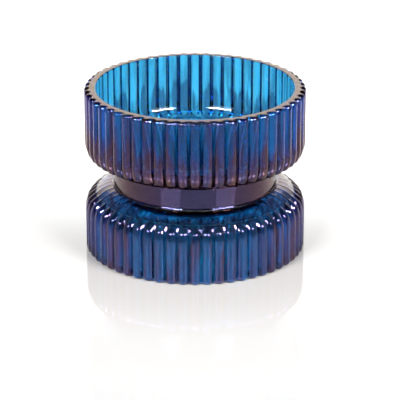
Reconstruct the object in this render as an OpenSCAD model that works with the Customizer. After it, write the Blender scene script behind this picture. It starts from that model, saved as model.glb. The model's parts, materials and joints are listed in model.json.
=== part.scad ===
// Two-sided ribbed glass candle holder, shaped like an hourglass.
// A ribbed cup opens upward, a slightly lower ribbed cup opens downward, and a
// smooth solid neck joins them. The holder stands on the mouth of the lower cup.
// Millimetres, +Z up, origin on the axis at the level of the foot.

/* [Overall] */
// Diameter across the rib crests
outer_d = 100; // [96:1:112]
// Glass thickness of the cup walls, from the bore to a rib crest
wall_t = 5.2; // [4.8:0.1:6.4]

/* [Upper cup] */
// Height of the upper cup
upper_h = 34.8; // [30:0.2:45]
// Radius of the rounded shoulder under the upper cup, at the bottom of the grooves
upper_shoulder_r = 10.2; // [8:0.2:10.4]
// Thickness of the upper cup's floor
upper_floor_t = 6; // [5:0.2:8]
// Radius between the upper cup's bore and its floor
upper_fillet_r = 6; // [3:0.5:8]
// Angle round the upper shoulder, from its flat underside, where the ribs begin
upper_rib_start = 42; // [36:1:50]
// Length along the upper shoulder over which a rib rises to its full height
upper_rib_run = 3.2; // [2.4:0.2:4.6]

/* [Base cup] */
// Height of the base cup
base_h = 30.8; // [28:0.2:40]
// Radius of the rounded shoulder on top of the base cup, at the bottom of the grooves
base_shoulder_r = 12.2; // [10:0.2:12.4]
// Thickness of the base cup's floor, which is its ceiling as it stands
base_floor_t = 4; // [3.4:0.2:7]
// Radius between the base cup's bore and its floor
base_fillet_r = 8.8; // [4:0.2:9]
// Angle round the base shoulder, from its flat top, where the ribs begin
base_rib_start = 44; // [34:1:46]
// Length along the base shoulder over which a rib rises to its full height
base_rib_run = 5; // [4:0.2:6.2]

/* [Neck] */
// Diameter of the smooth neck
neck_d = 74.5; // [66:0.5:75]
// Height of the neck block between its two bonds
neck_h = 10.4; // [6:0.2:16]
// Radius of the flare where the neck meets each cup
neck_flare_r = 0.8; // [0.4:0.1:1.2]
// Thickness of each clear adhesive bond
bond_t = 0.2; // [0.1:0.05:0.3]

/* [Ribs] */
// Number of ribs round each cup
rib_count = 56; // [44:4:64]
// Height of a rib's crest above the grooves beside it
rib_depth = 1.8; // [0.6:0.1:2.2]

/* [Mouths] */
// Radius of the rounded outer edge of each mouth
lip_r = 1.7; // [1.2:0.1:2.2]
// Radial width of the band at each mouth's edge over which the grooves run out
lip_run = 2.9; // [2.4:0.1:3.2]
// Radius of the rounded inner edge of each mouth
bore_edge_r = 0.6; // [0.3:0.1:0.8]

/* [Hidden] */

outer_r = outer_d / 2;
groove_r = outer_r - rib_depth;
bore_r = outer_r - wall_t;
neck_r = neck_d / 2;

// Levels, from the foot up
lower_bond_z = base_h;
neck_z = lower_bond_z + bond_t;
upper_bond_z = neck_z + neck_h;
upper_cup_z = upper_bond_z + bond_t;

// How finely the curved surfaces are stepped
rib_steps = 4;
columns = rib_count * rib_steps;
smooth_steps = 2;
rise_steps = 4;
full_steps = 2;
lip_steps = 3;
flat_steps = 2;
arc_steps = 6;

// The flare starts here, so its edge is a narrow land and not a feather
flare_start = 25;
bond_r = neck_r + neck_flare_r * (1 - sin(flare_start));
round_fn = 96;
overcut = 1;

// The grooves keep their full depth over the outermost part of the lip
lip_full = 0.3;

glass = "royalblue";
lustre_glass = "slateblue";
clear_bond = "lightsteelblue";

// 1 on a rib's crest and 0 in the groove; one crest faces -Y
function rib_section(column) = 1 - pow(2 * (column % rib_steps) / rib_steps - 1, 2);
function column_angle(column) = (column - rib_steps / 2) * 360 / columns - 90;

function smooth_step(t) = let (c = min(max(t, 0), 1)) c * c * (3 - 2 * c);
function steps(from, to, count) = [for (i = [0:count - 1]) from + (to - from) * i / count];

// A ring is [groove radius, groove height, outward normal's r and z, share of the rib that is sunk, rib height].
// Along the run at its start a rib comes up out of the smooth shoulder, and there part of it is still sunk.
function shoulder_ring(shoulder_r, rib_start, rib_run, angle) =
    let (risen = (angle - rib_start) * PI / 180 * shoulder_r / rib_run)
    [groove_r - shoulder_r * (1 - sin(angle)), shoulder_r * (1 - cos(angle)),
     sin(angle), -cos(angle), 1 - min(max(risen, 0), 1), rib_depth];

function shoulder_angles(shoulder_r, rib_start, rib_run) =
    let (rib_full = rib_start + rib_run / shoulder_r * 180 / PI)
    concat(steps(0, rib_start, smooth_steps), steps(rib_start, rib_full, rise_steps),
           steps(rib_full, 90, full_steps), [90]);

// The lip is set out at the crests, and the grooves are cut down from it
function lip_ring(r, z, angle) =
    let (flat_r = outer_r - lip_run, full_r = outer_r - lip_full * lip_r,
         cut = rib_depth * smooth_step((r - flat_r) / (full_r - flat_r)))
    [r - cut * cos(angle), z - cut * sin(angle), cos(angle), sin(angle), 0, cut];

function cup_rings(height, shoulder_r, rib_start, rib_run) = concat(
    [for (a = shoulder_angles(shoulder_r, rib_start, rib_run)) shoulder_ring(shoulder_r, rib_start, rib_run, a)],
    [for (a = steps(0, 90, lip_steps)) lip_ring(outer_r - lip_r * (1 - cos(a)), height - lip_r * (1 - sin(a)), a)],
    [for (r = steps(outer_r - lip_r, outer_r - lip_run, flat_steps)) lip_ring(r, height, 90)],
    [lip_ring(outer_r - lip_run, height, 90)]);

function ring_point(ring, column) =
    let (rise = ring[5] * max(0, rib_section(column) - ring[4]), a = column_angle(column),
         r = ring[0] + ring[2] * rise)
    [r * cos(a), r * sin(a), ring[1] + ring[3] * rise];

// Points of an arc, from angle a to angle b about a centre in the profile plane
function arc(cx, cz, r, a, b) =
    [for (i = [0:arc_steps]) let (t = a + (b - a) * i / arc_steps) [cx + r * cos(t), cz + r * sin(t)]];

// The outside of a cup with its mouth up: shoulder, ribbed wall and rounded lip
module ribbed_blank(height, shoulder_r, rib_start, rib_run) {
    rings = cup_rings(height, shoulder_r, rib_start, rib_run);
    last = len(rings) - 1;
    points = [for (ring = rings) for (c = [0:columns - 1]) ring_point(ring, c)];
    underside = [[for (c = [0:columns - 1]) c]];
    rim = [[for (c = [columns - 1:-1:0]) last * columns + c]];
    wall = [for (k = [0:last - 1]) for (c = [0:columns - 1])
        let (next = (c + 1) % columns, low = k * columns, high = low + columns)
        each [[low + c, high + c, high + next], [low + c, high + next, low + next]]];
    polyhedron(points = points, faces = concat(underside, rim, wall));
}

// The space inside a cup with its mouth up: a true bore, a filleted floor and a rounded edge
module candle_well(height, floor_t, fillet_r) {
    rotate_extrude($fn = round_fn)
        polygon(concat(
            [[0, floor_t]],
            arc(bore_r - fillet_r, floor_t + fillet_r, fillet_r, -90, 0),
            arc(bore_r + bore_edge_r, height - bore_edge_r, bore_edge_r, 180, 90),
            [[bore_r + bore_edge_r, height + overcut], [0, height + overcut]]));
}

module bond(z) {
    color(clear_bond) translate([0, 0, z]) cylinder(h = bond_t, r = bond_r, $fn = round_fn);
}

module upper_cup() {
    color(glass)
        translate([0, 0, upper_cup_z])
            difference() {
                ribbed_blank(upper_h, upper_shoulder_r, upper_rib_start, upper_rib_run);
                candle_well(upper_h, upper_floor_t, upper_fillet_r);
            }
}

module base_cup() {
    color(glass)
        translate([0, 0, base_h])
            rotate([180, 0, 0])
                difference() {
                    ribbed_blank(base_h, base_shoulder_r, base_rib_start, base_rib_run);
                    candle_well(base_h, base_floor_t, base_fillet_r);
                }
}

// A solid disc whose smooth side flares out a little at both ends
module neck_block() {
    flare_r = neck_r + neck_flare_r;
    color(lustre_glass)
        translate([0, 0, neck_z])
            rotate_extrude($fn = round_fn)
                polygon(concat(
                    [[0, 0], [bond_r, 0]],
                    arc(flare_r, neck_flare_r, neck_flare_r, 270 - flare_start, 180),
                    arc(flare_r, neck_h - neck_flare_r, neck_flare_r, 180, 90 + flare_start),
                    [[bond_r, neck_h], [0, neck_h]]));
}

module lower_bond() { bond(lower_bond_z); }
module upper_bond() { bond(upper_bond_z); }

upper_cup();
upper_bond();
neck_block();
lower_bond();
base_cup();
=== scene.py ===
"""Looks for the two-sided ribbed glass candle holder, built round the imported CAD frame. Metres, +Z up."""
import json
import math

import bpy
import numpy as np
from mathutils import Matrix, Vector


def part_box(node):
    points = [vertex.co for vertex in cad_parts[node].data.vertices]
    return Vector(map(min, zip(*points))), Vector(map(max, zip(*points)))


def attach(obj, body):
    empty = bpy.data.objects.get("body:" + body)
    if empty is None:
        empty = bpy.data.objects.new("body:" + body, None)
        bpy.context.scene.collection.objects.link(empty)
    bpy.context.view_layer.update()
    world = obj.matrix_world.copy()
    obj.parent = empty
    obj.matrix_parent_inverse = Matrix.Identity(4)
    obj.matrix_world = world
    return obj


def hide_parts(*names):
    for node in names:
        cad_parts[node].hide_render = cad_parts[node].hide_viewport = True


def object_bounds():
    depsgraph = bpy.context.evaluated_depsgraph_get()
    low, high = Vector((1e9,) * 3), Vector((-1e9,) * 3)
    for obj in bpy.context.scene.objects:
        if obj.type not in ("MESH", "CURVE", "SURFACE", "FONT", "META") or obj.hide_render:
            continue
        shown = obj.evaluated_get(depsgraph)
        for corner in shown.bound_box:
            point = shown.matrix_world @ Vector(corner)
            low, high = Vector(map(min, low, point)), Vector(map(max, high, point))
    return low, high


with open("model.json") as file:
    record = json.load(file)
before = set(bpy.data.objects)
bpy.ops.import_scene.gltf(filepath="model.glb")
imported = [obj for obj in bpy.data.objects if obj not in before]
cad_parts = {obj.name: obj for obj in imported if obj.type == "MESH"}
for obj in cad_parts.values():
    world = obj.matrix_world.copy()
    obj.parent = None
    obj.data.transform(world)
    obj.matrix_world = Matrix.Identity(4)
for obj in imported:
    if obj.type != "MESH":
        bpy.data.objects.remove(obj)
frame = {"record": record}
cad_low, cad_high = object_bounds()
MM = 0.001

# ---- sizes: the CAD part's driving dimensions, repeated here, and what the frame measures ----
RIBS = 56
RIB_DEPTH = 1.8 * MM
UPPER_SHOULDER_R = 10.2 * MM
UPPER_RIB_START = math.radians(42)
UPPER_RIB_RUN = 3.2 * MM
UPPER_FILLET_R = 6.0 * MM
BASE_SHOULDER_R = 12.2 * MM
BASE_RIB_START = math.radians(44)
BASE_RIB_RUN = 5.0 * MM
BASE_FILLET_R = 8.8 * MM
LIP_R = 1.7 * MM
LIP_RUN = 2.9 * MM
# The grooves keep their full depth over this share of the lip's radius
LIP_FULL = 0.3
BORE_EDGE_R = 0.6 * MM
NECK_D = 74.5 * MM
NECK_FLARE_R = 0.8 * MM
# In degrees, so that the flare's edge is a narrow land
NECK_FLARE_START = 25

MOUNTS = {mount["name"]: mount for mount in frame["record"]["mounts"]}
BASE_WELL = MOUNTS["base_well"]
BORE_R = MOUNTS["upper_well"]["dims"]["r_mm"] * MM
UPPER_FLOOR_Z = MOUNTS["upper_seat"]["pos_m"][2]
BASE_CEILING_Z = BASE_WELL["pos_m"][2] + 0.5 * BASE_WELL["dims"]["length_mm"] * MM + BASE_FILLET_R

upper_low, upper_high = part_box("upper_cup")
base_low, base_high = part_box("base_cup")
neck_low, neck_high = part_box("neck_block")
OUTER_R = upper_high.x
VALLEY_R = OUTER_R - RIB_DEPTH
LIP_FLAT_R = OUTER_R - LIP_RUN
NECK_R = 0.5 * NECK_D


# ---- meshes ----
def smooth_step(t):
    t = np.clip(t, 0, 1)
    return t * t * (3 - 2 * t)


def arc(centre_r, centre_z, radius, start, end, steps):
    """Points of an arc in the profile plane, as (r, z); start and end are in degrees."""
    angles = np.radians(np.linspace(start, end, steps + 1))
    return np.stack([centre_r + radius * np.cos(angles), centre_z + radius * np.sin(angles)], 1).tolist()


def mirrored(half, low_z, high_z):
    """A profile's lower half, followed by its mirror image about the middle of low_z and high_z."""
    return half + [(r, low_z + high_z - z) for r, z in reversed(half)]


def mesh_object(name, verts, faces):
    mesh = bpy.data.meshes.new(name)
    mesh.from_pydata(verts, [], faces)
    mesh.validate()
    mesh.update()
    mesh.polygons.foreach_set("use_smooth", [True] * len(mesh.polygons))
    piece = bpy.data.objects.new(name, mesh)
    bpy.context.scene.collection.objects.link(piece)
    return piece


def revolve(name, rings, angles):
    """A closed body round Z, from rings that begin and end on the axis.

    A ring is (r, z), or (r, z, normal_r, normal_z, rise) with one rise for each column.
    """
    columns = len(angles)
    cos_a, sin_a = np.cos(angles), np.sin(angles)
    verts = []
    for ring in rings[1:-1]:
        r, z = np.full(columns, ring[0]), np.full(columns, ring[1])
        if len(ring) == 5:
            r, z = r + ring[2] * ring[4], z + ring[3] * ring[4]
        verts += np.stack([r * cos_a, r * sin_a, z], 1).tolist()
    count = len(rings) - 2
    verts += [(0, 0, rings[0][1]), (0, 0, rings[-1][1])]
    first, last = count * columns, count * columns + 1
    top = (count - 1) * columns
    neighbours = [(column, (column + 1) % columns) for column in range(columns)]
    faces = []
    for here, after in neighbours:
        faces.append((first, after, here))
        faces.append((last, top + here, top + after))
    for low in range(0, top, columns):
        high = low + columns
        for here, after in neighbours:
            faces.append((low + here, low + after, high + after, high + here))
    return mesh_object(name, verts, faces)


# ---- ribs ----
STEPS_PER_RIB = 20
VALLEY_FILLET = 0.97
RIB_EDGE_SOFTNESS = 0.15

# Columns crowd towards the valleys, where the section turns fastest
rib_columns = np.sin(np.linspace(-1, 1, STEPS_PER_RIB + 1)[:-1] * math.pi / 2)
rib_across = np.tile(rib_columns, RIBS)
rib_numbers = np.repeat(np.arange(RIBS), STEPS_PER_RIB)
rib_angles = -math.pi / 2 + (rib_numbers + rib_across / 2) * 2 * math.pi / RIBS


def rib_section(across):
    """Rise of a rib, 1 at its crest and 0 in its valleys: a circular arc with a small fillet in each valley.

    across is 0 at the crest and runs to -1 and 1 in the valleys.
    """
    half = math.pi * VALLEY_R / RIBS
    radius = (half**2 + RIB_DEPTH**2) / (2 * RIB_DEPTH)

    def sag(t):
        return radius - np.sqrt(radius**2 - (t * half) ** 2)

    across = np.clip(np.abs(across), 0, 1)
    slope = VALLEY_FILLET * half**2 / math.sqrt(radius**2 - (VALLEY_FILLET * half) ** 2)
    past = np.maximum(across - VALLEY_FILLET, 0)
    depth = sag(np.minimum(across, VALLEY_FILLET)) + slope * (past - past**2 / (2 * (1 - VALLEY_FILLET)))
    full = sag(VALLEY_FILLET) + slope * (1 - VALLEY_FILLET) / 2
    return 1 - depth / full


def soft_floor(x, softness):
    """x where it is positive and 0 where it is negative, with the corner rounded over +-softness."""
    softness = max(softness, 1e-6)
    rounded = (x + softness) ** 2 / (4 * softness)
    return np.where(x > softness, x, np.where(x < -softness, 0.0, rounded))


SECTION = rib_section(rib_across)


# ---- profile of a ribbed cup ----
# How finely each stretch is stepped, and the gaps left beside its arcs
DISC_RINGS = 6
SHOULDER_STEPS = {"smooth": 14, "rise": 16, "full": 10}
WALL_RINGS = 8
LIP_RINGS = 13
RIM_RINGS = 6
EDGE_STEPS = 8
FILLET_STEPS = 18
EDGE_GAP = 0.2 * MM
FLAT_GAP = 0.3 * MM
FILLET_GAP = 0.5 * MM


def shoulder_rings(shoulder_r, rib_start, rib_run):
    """The shoulder, from flat round to upright; along rib_run each rib comes up out of the smooth surface."""
    rib_full = rib_start + rib_run / shoulder_r
    turns = np.concatenate([np.linspace(0, rib_start, SHOULDER_STEPS["smooth"]),
                            np.linspace(rib_start, rib_full, SHOULDER_STEPS["rise"])[1:],
                            np.linspace(rib_full, math.pi / 2, SHOULDER_STEPS["full"])[1:]])
    rings = []
    for a in turns:
        sunk = max(0.0, 1 - max(0.0, a - rib_start) * shoulder_r / rib_run)
        rise = RIB_DEPTH * soft_floor(SECTION - sunk, RIB_EDGE_SOFTNESS * sunk)
        r, z = VALLEY_R - shoulder_r * (1 - math.sin(a)), shoulder_r * (1 - math.cos(a))
        rings.append((r, z, math.sin(a), -math.cos(a), rise))
    return rings


def groove_cut(r):
    """The grooves' cut into the mouth's edge, as a negative rise: full outside, and none on the flat."""
    full_r = OUTER_R - LIP_FULL * LIP_R
    return RIB_DEPTH * (SECTION - 1) * float(smooth_step((r - LIP_FLAT_R) / (full_r - LIP_FLAT_R)))


def lip_rings(height):
    rings = []
    for a in np.linspace(0, math.pi / 2, LIP_RINGS):
        r = OUTER_R - LIP_R * (1 - math.cos(a))
        rings.append((r, height - LIP_R * (1 - math.sin(a)), math.cos(a), math.sin(a), groove_cut(r)))
    for r in np.linspace(OUTER_R - LIP_R, LIP_FLAT_R, RIM_RINGS)[1:]:
        rings.append((r, height, 0.0, 1.0, groove_cut(r)))
    return rings


def well_rings(height, floor_t, fillet_r):
    """The smooth inside, from the flat of the mouth down to the floor's centre."""
    edge_r = BORE_R + BORE_EDGE_R
    corner_r, corner_z = BORE_R - fillet_r, floor_t + fillet_r
    rings = [(LIP_FLAT_R - FLAT_GAP, height), (edge_r + EDGE_GAP, height)]
    rings += arc(edge_r, height - BORE_EDGE_R, BORE_EDGE_R, 90, 180, EDGE_STEPS)
    rings += [(BORE_R, z) for z in np.linspace(height - 2 * BORE_EDGE_R, corner_z + FILLET_GAP, DISC_RINGS)]
    rings += arc(corner_r, corner_z, fillet_r, 0, -90, FILLET_STEPS)
    rings += [(r, floor_t) for r in np.linspace(corner_r - FILLET_GAP, 0.2 * BORE_R, DISC_RINGS)]
    return rings + [(0.0, floor_t)]


def cup_rings(height, shoulder_r, rib_start, rib_run, floor_t, fillet_r):
    """Profile of a ribbed cup with its mouth up and its bond face at z = 0."""
    bond_r = VALLEY_R - shoulder_r
    rings = [(0.0, 0.0)] + [(r, 0.0) for r in np.linspace(0.25, 0.98, DISC_RINGS) * bond_r]
    rings += shoulder_rings(shoulder_r, rib_start, rib_run)
    for z in np.linspace(shoulder_r, height - LIP_R, WALL_RINGS)[1:-1]:
        rings.append((VALLEY_R, z, 1.0, 0.0, RIB_DEPTH * SECTION))
    return rings + lip_rings(height) + well_rings(height, floor_t, fillet_r)


def placed(rings, base_z, up=1):
    """The same rings stood at base_z, and upside down where up is -1."""
    out = []
    for ring in rings:
        rest = (ring[2], up * ring[3], ring[4]) if len(ring) == 5 else ()
        out.append((ring[0], base_z + up * ring[1], *rest))
    return out


# ---- node trees ----
class Graph:
    """A node tree, with short ways to add the nodes that are used here."""

    def __init__(self, tree):
        self.nodes, self.links = tree.nodes, tree.links

    def add(self, kind, operation=None):
        node = self.nodes.new(kind)
        if operation:
            node.operation = operation
        return node

    def feed(self, socket, value):
        """Links the socket to value, or sets it where value is a plain number."""
        if isinstance(value, (int, float)):
            socket.default_value = value
        else:
            self.links.new(value, socket)

    def math(self, operation, a, b):
        node = self.add("ShaderNodeMath", operation)
        self.feed(node.inputs[0], a)
        self.feed(node.inputs[1], b)
        return node.outputs[0]

    def smooth_map(self, source, from_range, to_range):
        """Runs smoothly from to_range[0] to to_range[1] as source crosses from_range."""
        node = self.add("ShaderNodeMapRange")
        node.interpolation_type = "SMOOTHSTEP"
        for key, value in zip(("From Min", "From Max", "To Min", "To Max"), (*from_range, *to_range)):
            node.inputs[key].default_value = value
        self.links.new(source, node.inputs["Value"])
        return node.outputs["Result"]

    def along(self, source, pairs):
        """Runs through (source, value) pairs, smoothly from each to the next and level outside them."""
        total = float(pairs[0][1])
        for (start, before), (end, after) in zip(pairs, pairs[1:]):
            total = self.math("ADD", self.smooth_map(source, (start, end), (0.0, after - before)), total)
        return total

    def noise(self, vector, scale, detail):
        node = self.add("ShaderNodeTexNoise")
        node.inputs["Scale"].default_value = scale
        node.inputs["Detail"].default_value = detail
        self.links.new(vector, node.inputs["Vector"])
        return node.outputs["Fac"]

    def coordinates(self, kind):
        return self.add("ShaderNodeTexCoord").outputs[kind]

    def split(self, vector):
        """The vector's X, Y and Z, by name."""
        node = self.add("ShaderNodeSeparateXYZ")
        self.links.new(vector, node.inputs[0])
        return node.outputs

    def length(self, vector):
        node = self.add("ShaderNodeVectorMath", "LENGTH")
        self.links.new(vector, node.inputs[0])
        return node.outputs["Value"]


def new_material(name):
    mat = bpy.data.materials.new(name)
    mat.use_nodes = True
    return mat, Graph(mat.node_tree), mat.node_tree.nodes["Principled BSDF"]


# ---- glass ----
GLASS_IOR = 1.5
GLASS_ROUGHNESS = 0.03
GRAIN_SCALE = 900
GRAIN_HEIGHT = 0.05 * MM
FILM_IOR = 1.82
FILM_SPREAD_NM = 10
DRIP_REACH = 3.5 * MM
STREAK_SCALE = 220
STREAK_SQUASH = 0.12
STREAK_DARKNESS = 0.5
COAT_TINT = (0.27, 0.11, 0.16)
BLUE_ABSORB = (0.033, 0.725, 0.892)
BLUE_DENSITY = 600
BLUE_GRAIN = 0.15

# Heights in metres, each with the coat's thickness in nanometres or with how much it darkens the glass
UPPER_FILM = ((0.050, 158), (0.054, 151), (0.058, 152), (0.064, 167))
UPPER_RIM_FILM = ((0.0750, 0), (0.0761, -19))
UPPER_COAT = ((0.050, 1.10), (0.056, 0.90), (0.061, 0.24))
BASE_FILM = ((0.020, 163), (0.029, 141))
BASE_COAT = ((0.022, 0.52), (0.027, 0.92))
NO_RIM_FILM = ((0.0, 0),)
ALL_COVERED = ((0.0, 1),)


def clear_lustre(name, absorb, density, film_nm, grain):
    """Coloured glass with a fine surface grain under a lustre coat of one thickness."""
    mat, graph, shader = new_material(name)
    shader.inputs["Base Color"].default_value = (1, 1, 1, 1)
    shader.inputs["Transmission Weight"].default_value = 1.0
    shader.inputs["Roughness"].default_value = GLASS_ROUGHNESS
    shader.inputs["IOR"].default_value = GLASS_IOR
    shader.inputs["Thin Film IOR"].default_value = FILM_IOR
    shader.inputs["Thin Film Thickness"].default_value = film_nm
    relief = graph.add("ShaderNodeBump")
    relief.inputs["Strength"].default_value = grain
    relief.inputs["Distance"].default_value = GRAIN_HEIGHT
    graph.feed(relief.inputs["Height"], graph.noise(graph.coordinates("Object"), GRAIN_SCALE, 2))
    graph.feed(shader.inputs["Normal"], relief.outputs["Normal"])
    volume = graph.add("ShaderNodeVolumeAbsorption")
    volume.inputs["Color"].default_value = (*absorb, 1)
    volume.inputs["Density"].default_value = density
    graph.feed(graph.nodes["Material Output"].inputs["Volume"], volume.outputs["Volume"])
    return mat


def streaked_lustre(name, film_nm, rim_nm, coat, closed, covered):
    """Blue glass whose lustre coat runs down the outside in uneven streaks.

    The settings are (height, value) pairs from low to high. film_nm is the coat's thickness and coat is how
    much it darkens the glass; the streaks move the heights of both by up to DRIP_REACH. rim_nm is added to
    the thickness at the rim. The coat is on the outside only, and closed is 1 at the heights where the cup
    has no inside. covered is 0 where the coat is too thin to darken the glass.
    """
    mat = clear_lustre(name, BLUE_ABSORB, BLUE_DENSITY, 0.0, BLUE_GRAIN)
    graph = Graph(mat.node_tree)
    shader = graph.nodes["Principled BSDF"]
    coords = graph.coordinates("Object")
    axes = graph.split(coords)
    height = axes["Z"]

    stretched = graph.add("ShaderNodeMapping")
    stretched.inputs["Scale"].default_value = (1, 1, STREAK_SQUASH)
    graph.feed(stretched.inputs["Vector"], coords)
    noise = graph.noise(stretched.outputs["Vector"], STREAK_SCALE, 3)
    streak = graph.smooth_map(noise, (0.35, 0.65), (-1.0, 1.0))
    dripped = graph.math("ADD", graph.math("MULTIPLY", streak, -DRIP_REACH), height)

    flat = graph.add("ShaderNodeCombineXYZ")
    graph.feed(flat.inputs["X"], axes["X"])
    graph.feed(flat.inputs["Y"], axes["Y"])
    coat_edge = (BORE_R + 0.2 * MM, BORE_R + 0.5 * MM)
    past_bore = graph.smooth_map(graph.length(flat.outputs[0]), coat_edge, (0.0, 1.0))
    outside = graph.math("MAXIMUM", past_bore, graph.along(height, closed))

    thickness = graph.math("MULTIPLY", streak, -FILM_SPREAD_NM)
    thickness = graph.math("ADD", thickness, graph.along(dripped, film_nm))
    thickness = graph.math("ADD", thickness, graph.along(height, rim_nm))
    graph.feed(shader.inputs["Thin Film Thickness"], graph.math("MULTIPLY", thickness, outside))

    darkness = graph.math("MULTIPLY", streak, STREAK_DARKNESS)
    darkness = graph.math("ADD", darkness, graph.along(dripped, coat))
    darkness = graph.math("MULTIPLY", darkness, outside)
    darkness = graph.math("MULTIPLY", darkness, graph.along(height, covered))
    tint = graph.add("ShaderNodeValToRGB")
    tint.color_ramp.elements[0].color = (1, 1, 1, 1)
    tint.color_ramp.elements[1].color = (*COAT_TINT, 1)
    graph.feed(tint.inputs["Fac"], darkness)
    graph.feed(shader.inputs["Base Color"], tint.outputs["Color"])
    return mat


upper_closed = ((UPPER_FLOOR_Z - 1.4 * MM, 1), (UPPER_FLOOR_Z - 0.4 * MM, 0))
upper_covered = ((upper_low.z + 0.3 * MM, 0), (upper_low.z + 1.1 * MM, 1))
base_closed = ((BASE_CEILING_Z + 0.2 * MM, 0), (BASE_CEILING_Z + 0.4 * MM, 1))
upper_glass = streaked_lustre("upper_glass_look", UPPER_FILM, UPPER_RIM_FILM, UPPER_COAT,
                              upper_closed, upper_covered)
base_glass = streaked_lustre("base_glass_look", BASE_FILM, NO_RIM_FILM, BASE_COAT, base_closed, ALL_COVERED)
neck_glass = clear_lustre("neck_glass_look", absorb=(0.1, 0.4, 0.6), density=900, film_nm=158.0, grain=0.05)
bond_glass = clear_lustre("clear_bond_look", absorb=(0.95, 0.97, 0.99), density=20, film_nm=0.0, grain=0.02)


# ---- pieces ----
ROUND_COLUMNS = 448
FLARE_STEPS = 14
NECK_RINGS = 6
NECK_GAP = 0.4 * MM
SEAM_GAP = 0.01 * MM
NECK_BEVEL = 0.1 * MM
NECK_BEVEL_HEIGHT = 0.03 * MM
BOND_BEVEL = 0.05 * MM
round_angles = np.arange(ROUND_COLUMNS) * 2 * math.pi / ROUND_COLUMNS


def finish_piece(piece, node, mat):
    piece.data.materials.append(mat)
    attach(piece, "root")
    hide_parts(node)


def disc_end(r, z, bevel, bevel_height):
    """The lower face of a disc, out to its bevelled edge."""
    return [(0.0, z), (0.5 * r, z), (r - bevel, z), (r, z + bevel_height)]


def neck_profile(low_z, high_z, edge_r):
    flare_z = low_z + NECK_FLARE_R
    half = disc_end(edge_r, low_z, NECK_BEVEL, NECK_BEVEL_HEIGHT)
    half += arc(NECK_R + NECK_FLARE_R, flare_z, NECK_FLARE_R, 270 - NECK_FLARE_START, 180, FLARE_STEPS)
    wall_start = NECK_FLARE_R + NECK_GAP
    walls = np.linspace(low_z + wall_start, high_z - wall_start, NECK_RINGS)
    half += [(NECK_R, z) for z in walls[:NECK_RINGS // 2]]
    return mirrored(half, low_z, high_z)


upper_rings = cup_rings(upper_high.z - upper_low.z, UPPER_SHOULDER_R, UPPER_RIB_START, UPPER_RIB_RUN,
                        UPPER_FLOOR_Z - upper_low.z, UPPER_FILLET_R)
upper = revolve("upper_ribbed_cup", placed(upper_rings, upper_low.z), rib_angles)
finish_piece(upper, "upper_cup", upper_glass)

base_rings = cup_rings(base_high.z - base_low.z, BASE_SHOULDER_R, BASE_RIB_START, BASE_RIB_RUN,
                       base_high.z - BASE_CEILING_Z, BASE_FILLET_R)
base = revolve("base_ribbed_cup", placed(base_rings, base_high.z, -1)[::-1], rib_angles)
finish_piece(base, "base_cup", base_glass)

neck = revolve("neck_disc", neck_profile(neck_low.z, neck_high.z, neck_high.x), round_angles)
finish_piece(neck, "neck_block", neck_glass)

for node_name in ("lower_bond", "upper_bond"):
    bond_low, bond_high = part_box(node_name)
    low_z, high_z = bond_low.z + SEAM_GAP, bond_high.z - SEAM_GAP
    profile = mirrored(disc_end(bond_high.x, low_z, BOND_BEVEL, BOND_BEVEL), low_z, high_z)
    finish_piece(revolve(node_name + "_film", profile, round_angles), node_name, bond_glass)

# ---- camera ----
CAMERA_DISTANCE = 1.13
CAMERA_ELEVATION = math.radians(20.7)
FOCAL_MM = 223.3
SENSOR_MM = 36
AIM_RIGHT = 2.23 * MM
AIM_DOWN = 15.7 * MM
middle = Vector((0, 0, 0.5 * cad_high.z))
toward = Vector((0, -math.cos(CAMERA_ELEVATION), math.sin(CAMERA_ELEVATION)))
camera_up = Vector((0, math.sin(CAMERA_ELEVATION), math.cos(CAMERA_ELEVATION)))
camera = bpy.data.objects.new("camera", bpy.data.cameras.new("camera"))
bpy.context.scene.collection.objects.link(camera)
camera.location = middle + CAMERA_DISTANCE * toward
aim = middle + Vector((AIM_RIGHT, 0, 0)) - AIM_DOWN * camera_up
camera.rotation_euler = (aim - camera.location).to_track_quat("-Z", "Y").to_euler()
camera.data.lens = FOCAL_MM
camera.data.sensor_width = SENSOR_MM
camera.data.clip_end = 50
bpy.context.scene.camera = camera

# ---- stage ----
FLOOR_HALF = 3.0
FLOOR_ROUGHNESS = 0.08
FLOOR_IOR = 2.0
FLOOR_RAMP_R = 0.25
# From the axis outwards, painted light and shade on the floor: painted light under the base cup, painted
# shade beside it, paler again, and painted shade far off
FLOOR_PAINTED_LIGHT_AND_SHADE = ((0.044, (0.60, 0.585, 0.56)), (0.048, (0.345, 0.335, 0.32)), (0.068, (0.365, 0.355, 0.34)),
               (0.105, (0.41, 0.405, 0.395)), (0.150, (0.40, 0.395, 0.385)), (0.215, (0.30, 0.295, 0.29)))
# Between these depths, the paler colour below takes over behind the holder: painted light, which pales the
# floor there and mostly hides the soft shadow cast behind the holder
FLOOR_PAINTED_LIGHT_Y = (-0.01, 0.08)
FLOOR_BACK_PAINTED_LIGHT = (0.80, 0.785, 0.76)


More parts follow.
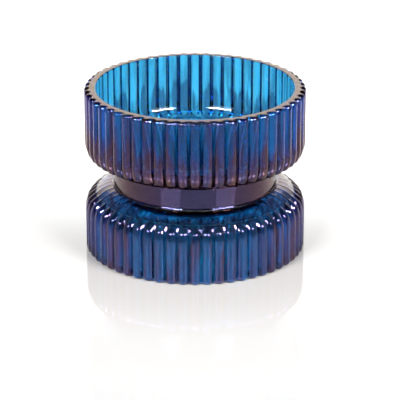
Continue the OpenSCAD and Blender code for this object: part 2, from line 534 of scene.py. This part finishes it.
def floor_material():
    mat, graph, shader = new_material("floor_painted_light_and_shade")
    coords = graph.coordinates("Object")
    # A ramp by distance from the axis paints light and shade into the floor's colour
    painted_grade_ramp = graph.add("ShaderNodeValToRGB")
    stops = painted_grade_ramp.color_ramp.elements
    while len(stops) < len(FLOOR_PAINTED_LIGHT_AND_SHADE):
        stops.new(0.5)
    for stop, (r, colour) in zip(stops, FLOOR_PAINTED_LIGHT_AND_SHADE):
        stop.position = r / FLOOR_RAMP_R
        stop.color = (*colour, 1)
    graph.feed(painted_grade_ramp.inputs["Fac"], graph.math("DIVIDE", graph.length(coords), FLOOR_RAMP_R))
    mix = graph.add("ShaderNodeMix")
    mix.data_type = "RGBA"
    # Painted light: the floor's colour turns paler behind the holder
    graph.feed(mix.inputs["Factor"], graph.smooth_map(graph.split(coords)["Y"], FLOOR_PAINTED_LIGHT_Y, (0.0, 1.0)))
    graph.feed(mix.inputs[6], painted_grade_ramp.outputs["Color"])
    mix.inputs[7].default_value = (*FLOOR_BACK_PAINTED_LIGHT, 1)
    graph.feed(shader.inputs["Base Color"], mix.outputs[2])
    shader.inputs["Roughness"].default_value = FLOOR_ROUGHNESS
    shader.inputs["IOR"].default_value = FLOOR_IOR
    return mat


floor_mesh = bpy.data.meshes.new("floor")
floor_corners = [(x * FLOOR_HALF, y * FLOOR_HALF, 0) for x, y in ((-1, -1), (1, -1), (1, 1), (-1, 1))]
floor_mesh.from_pydata(floor_corners, [], [(0, 1, 2, 3)])
floor = bpy.data.objects.new("floor", floor_mesh)
bpy.context.scene.collection.objects.link(floor)
floor.data.materials.append(floor_material())

# ---- lights ----
SOFTBOX_DISTANCE = 1.2
SOFTBOX_WIDTH = 0.55
SOFTBOX_AZIMUTHS = {"left": -34, "right": 43}
MAIN_BOX = {"elevation": 39, "height": 0.24, "radiance": 68.0}
FOOT_BOX = {"elevation": 23, "height": 0.25, "radiance": 4.0}


def softbox(name, azimuth, elevation, height, radiance):
    """A rectangular light that looks at the holder; azimuth is measured from the camera's side towards +X."""
    light = bpy.data.lights.new(name, "AREA")
    light.shape = "RECTANGLE"
    light.size = SOFTBOX_WIDTH
    light.size_y = height
    light.energy = radiance * math.pi * SOFTBOX_WIDTH * height
    turn, lift = math.radians(azimuth), math.radians(elevation)
    lamp = bpy.data.objects.new(name, light)
    bpy.context.scene.collection.objects.link(lamp)
    across = math.cos(lift)
    direction = Vector((math.sin(turn) * across, -math.cos(turn) * across, math.sin(lift)))
    lamp.location = middle + SOFTBOX_DISTANCE * direction
    lamp.rotation_euler = direction.to_track_quat("Z", "Y").to_euler()
    lamp.visible_camera = False


for side, azimuth in SOFTBOX_AZIMUTHS.items():
    softbox(side + "_softbox", azimuth, **MAIN_BOX)
    softbox(side + "_softbox_foot", azimuth, **FOOT_BOX)

# A white panel stands behind the holder; the room is dim at the sides and above. The ranges are of the view
# direction's Y and Z, each with the strengths at its two ends, and the two strengths are multiplied.
PANEL_RANGE, PANEL_STRENGTH = (0.80, 0.92), (0.15, 1.8)
OVERHEAD_RANGE, OVERHEAD_STRENGTH = (0.5, 0.7), (1.0, 0.35)
BACKDROP_STRENGTH = 1.05

world = bpy.data.worlds.new("studio")
bpy.context.scene.world = world
world.use_nodes = True
sky = Graph(world.node_tree)
view = sky.split(sky.coordinates("Generated"))
room = sky.math("MULTIPLY", sky.smooth_map(view["Y"], PANEL_RANGE, PANEL_STRENGTH),
                sky.smooth_map(view["Z"], OVERHEAD_RANGE, OVERHEAD_STRENGTH))
pick = sky.add("ShaderNodeMix")
pick.data_type = "FLOAT"
sky.feed(pick.inputs["Factor"], sky.add("ShaderNodeLightPath").outputs["Is Camera Ray"])
sky.feed(pick.inputs["A"], room)
pick.inputs["B"].default_value = BACKDROP_STRENGTH
background = sky.nodes["Background"]
sky.feed(background.inputs["Strength"], pick.outputs["Result"])
background.inputs["Color"].default_value = (1, 1, 1, 1)

# ---- render settings that the glass needs ----
scene = bpy.context.scene
scene.view_settings.view_transform = "Standard"
scene.cycles.max_bounces = 32
scene.cycles.transmission_bounces = 32
scene.cycles.glossy_bounces = 12
